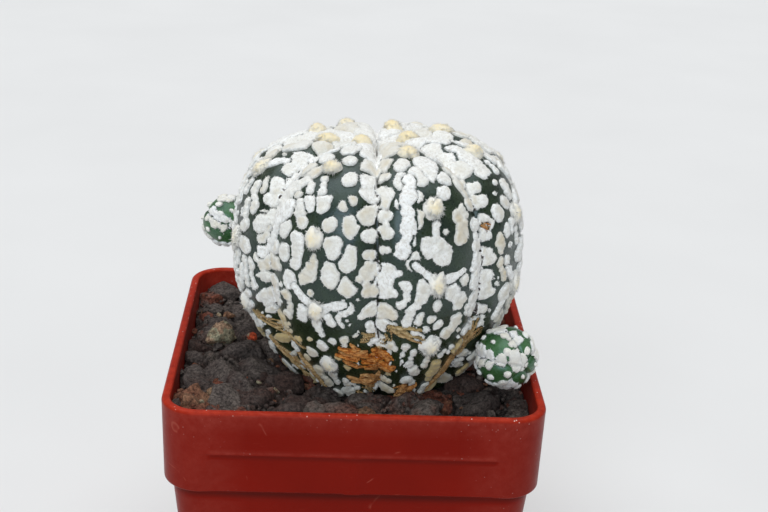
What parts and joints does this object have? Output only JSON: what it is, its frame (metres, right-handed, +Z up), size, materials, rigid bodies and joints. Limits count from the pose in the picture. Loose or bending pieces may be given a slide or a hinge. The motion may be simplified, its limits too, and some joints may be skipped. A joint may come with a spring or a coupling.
{
  "type": "potted super kabuto star cactus",
  "caption": "Ribbed globular star cactus with raised white felt flecks, woolly areoles and small offsets, in gritty soil in a tapered square plastic pot.",
  "frame": {"origin": "centre of the pot's base, on the surface that it stands on", "axes": "+Z up through the plant's crown, +X to the right and +Y to the back of the pot as seen from the front"},
  "size_m": [0.055, 0.055, 0.0842],
  "materials": {
    "pot_plastic": "terracotta-red injection-moulded plastic, satin gloss, slightly translucent at the rim",
    "grit": "rough dark lava and pumice grit, matt",
    "cactus_skin": "dark green waxy skin under raised white felt flecks and cream wool",
    "offset_skin": "fresh green waxy skin under raised white felt flecks and white wool"
  },
  "bodies": {
    "root": {"pot": "pot_plastic", "soil": "grit", "cactus_head": "cactus_skin", "offset_right": "offset_skin", "offset_left": "offset_skin"}
  },
  "joints": []
}
